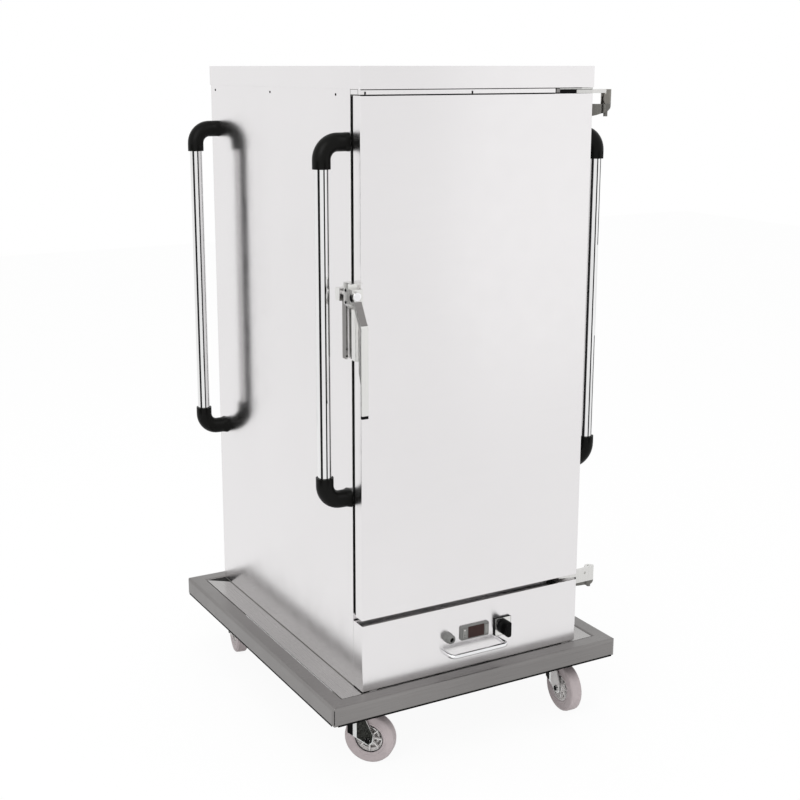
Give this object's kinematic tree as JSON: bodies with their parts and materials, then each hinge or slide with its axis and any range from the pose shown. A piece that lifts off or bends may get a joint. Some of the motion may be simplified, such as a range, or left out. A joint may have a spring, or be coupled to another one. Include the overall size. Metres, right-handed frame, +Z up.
{
  "type": "heated banquet cart",
  "caption": "Insulated stainless heated cabinet on a steel base frame with swivel casters, side-hinged door, lever latch, side handles and a pull-out heating module.",
  "frame": {"origin": "on the floor, under the middle of the base frame", "axes": "+Z up, -Y is the door's side, +X is the hinge side"},
  "size_m": [0.819, 0.939, 1.643],
  "materials": {
    "frame_steel": "brushed, warm mid grey",
    "deck_steel": "brushed, lighter grey",
    "panel_steel": "very light, finely brushed stainless steel",
    "liner_steel": "plain stainless sheet",
    "hinge_steel": "satin, warm grey",
    "bracket_steel": "cast and ground, dark warm grey",
    "latch_steel": "polished stainless steel",
    "heater_steel": "sheathed element, dull",
    "zinc": "bright zinc plate",
    "chrome_tube": "polished tube",
    "chrome_rod": "polished rod",
    "fan_aluminium": "plain sheet",
    "motor_black": "black enamel",
    "wool": "mineral wool slab",
    "gasket_rubber": "black silicone",
    "black_rubber": "black rubber",
    "black_plastic": "black, fine grain",
    "elbow_plastic": "black, satin",
    "grey_plastic": "mid grey",
    "key_plastic": "grey keys",
    "display_plastic": "dark brown window",
    "grey_tyre": "light warm grey non-marking rubber",
    "hub_plastic": "light grey nylon"
  },
  "bodies": {
    "cabinet": {"base_frame": "frame_steel", "cabinet_liner": "liner_steel", "caster_plates": "zinc", "cavity_floor": "liner_steel", "deck_plate": "deck_steel", "front_frame": "panel_steel", "gutter_wedges": "black_rubber", "handle_elbows": "elbow_plastic", "handle_tubes": "chrome_tube", "hinge_brackets": "bracket_steel", "hinge_pins": "zinc", "insulation_slabs": "wool", "latch_keeper": "latch_steel", "lintel_strip": "panel_steel", "panel_left": "panel_steel", "panel_rear": "panel_steel", "panel_right": "panel_steel", "rack_left": "liner_steel", "rack_right": "liner_steel", "top_cap": "panel_steel"},
    "door": {"door_skin": "panel_steel", "door_insulation": "wool", "door_inner_pan": "liner_steel", "door_gasket": "gasket_rubber", "hinge_arm_upper": "hinge_steel", "hinge_arm_lower": "hinge_steel", "hinge_cover": "black_plastic", "latch_housing": "latch_steel"},
    "latch": {"latch_lever": "latch_steel", "latch_tip": "black_plastic"},
    "module": {"module_fascia": "panel_steel", "module_tray": "liner_steel", "module_handle": "chrome_rod", "heater_element": "heater_steel", "fan_motor": "motor_black", "cable_gland": "grey_plastic", "controller_bezel": "grey_plastic", "controller_window": "display_plastic", "switch_base": "black_plastic"},
    "impeller": {"fan_impeller": "fan_aluminium"},
    "knob": {"switch_knob": "black_plastic"},
    "left_key": {"key_left": "key_plastic"},
    "right_key": {"key_right": "key_plastic"},
    "caster_front_left": {"fork_front_left": "zinc"},
    "wheel_front_left": {"tyre_front_left": "grey_tyre", "hub_front_left": "hub_plastic"},
    "brake_front_left": {"pedal_front_left": "black_plastic"},
    "caster_front_right": {"fork_front_right": "zinc"},
    "wheel_front_right": {"tyre_front_right": "grey_tyre", "hub_front_right": "hub_plastic"},
    "brake_front_right": {"pedal_front_right": "black_plastic"},
    "caster_rear_left": {"fork_rear_left": "zinc"},
    "wheel_rear_left": {"tyre_rear_left": "grey_tyre", "hub_rear_left": "hub_plastic"},
    "brake_rear_left": {"pedal_rear_left": "black_plastic"},
    "caster_rear_right": {"fork_rear_right": "zinc"},
    "wheel_rear_right": {"tyre_rear_right": "grey_tyre", "hub_rear_right": "hub_plastic"},
    "brake_rear_right": {"pedal_rear_right": "black_plastic"}
  },
  "joints": [
    {"name": "door_hinge", "type": "hinge", "parent": "cabinet", "child": "door", "pos_m": [0.3618, -0.40845, 0.9796], "axis": [0, 0, 1], "range_deg": [0, 180]},
    {"name": "latch_turn", "type": "hinge", "parent": "door", "child": "latch", "pos_m": [-0.33, -0.4247, 1.151], "axis": [0, 1, 0], "range_deg": [0, 90]},
    {"name": "module_slide", "type": "slide", "parent": "cabinet", "child": "module", "axis": [0, -1, 0], "range_m": [0, 0.4]},
    {"name": "fan_spin", "type": "hinge", "parent": "module", "child": "impeller", "pos_m": [0, -0.1747, 0.268], "axis": [0, 0, 1], "continuous": true},
    {"name": "switch_turn", "type": "hinge", "parent": "module", "child": "knob", "pos_m": [0.083, -0.4447, 0.2865], "axis": [0, 1, 0], "range_deg": [0, 90]},
    {"name": "key_left_press", "type": "slide", "parent": "module", "child": "left_key", "axis": [0, 1, 0], "range_m": [0, 0.0008], "stiffness_N_per_m": 400},
    {"name": "key_right_press", "type": "slide", "parent": "module", "child": "right_key", "axis": [0, 1, 0], "range_m": [0, 0.0008], "stiffness_N_per_m": 400},
    {"name": "swivel_front_left", "type": "hinge", "parent": "cabinet", "child": "caster_front_left", "pos_m": [-0.299, -0.367, 0.135], "axis": [0, 0, 1], "continuous": true},
    {"name": "roll_front_left", "type": "hinge", "parent": "caster_front_left", "child": "wheel_front_left", "pos_m": [-0.2726, -0.39433, 0.0625], "axis": [0.7193, 0.6947, 0], "continuous": true},
    {"name": "brake_front_left", "type": "hinge", "parent": "caster_front_left", "child": "brake_front_left", "pos_m": [-0.30317, -0.36268, 0.1187], "axis": [-0.7193, -0.6947, 0], "range_deg": [0, 15]},
    {"name": "swivel_front_right", "type": "hinge", "parent": "cabinet", "child": "caster_front_right", "pos_m": [0.299, -0.367, 0.135], "axis": [0, 0, 1], "continuous": true},
    {"name": "roll_front_right", "type": "hinge", "parent": "caster_front_right", "child": "wheel_front_right", "pos_m": [0.29695, -0.40494, 0.0625], "axis": [0.9985, -0.0541, 0], "continuous": true},
    {"name": "brake_front_right", "type": "hinge", "parent": "caster_front_right", "child": "brake_front_right", "pos_m": [0.29932, -0.36101, 0.1187], "axis": [-0.9985, 0.0541, 0], "range_deg": [0, 15]},
    {"name": "swivel_rear_left", "type": "hinge", "parent": "cabinet", "child": "caster_rear_left", "pos_m": [-0.299, 0.38, 0.135], "axis": [0, 0, 1], "continuous": true},
    {"name": "roll_rear_left", "type": "hinge", "parent": "caster_rear_left", "child": "wheel_rear_left", "pos_m": [-0.30625, 0.3427, 0.0625], "axis": [0.9816, -0.1908, 0], "continuous": true},
    {"name": "brake_rear_left", "type": "hinge", "parent": "caster_rear_left", "child": "brake_rear_left", "pos_m": [-0.29785, 0.38589, 0.1187], "axis": [-0.9816, 0.1908, 0], "range_deg": [0, 15]},
    {"name": "swivel_rear_right", "type": "hinge", "parent": "cabinet", "child": "caster_rear_right", "pos_m": [0.299, 0.38, 0.135], "axis": [0, 0, 1], "continuous": true},
    {"name": "roll_rear_right", "type": "hinge", "parent": "caster_rear_right", "child": "wheel_rear_right", "pos_m": [0.30099, 0.34205, 0.0625], "axis": [0.9986, 0.0523, 0], "continuous": true},
    {"name": "brake_rear_right", "type": "hinge", "parent": "caster_rear_right", "child": "brake_rear_right", "pos_m": [0.29869, 0.38599, 0.1187], "axis": [-0.9986, -0.0523, 0], "range_deg": [0, 15]}
  ]
}
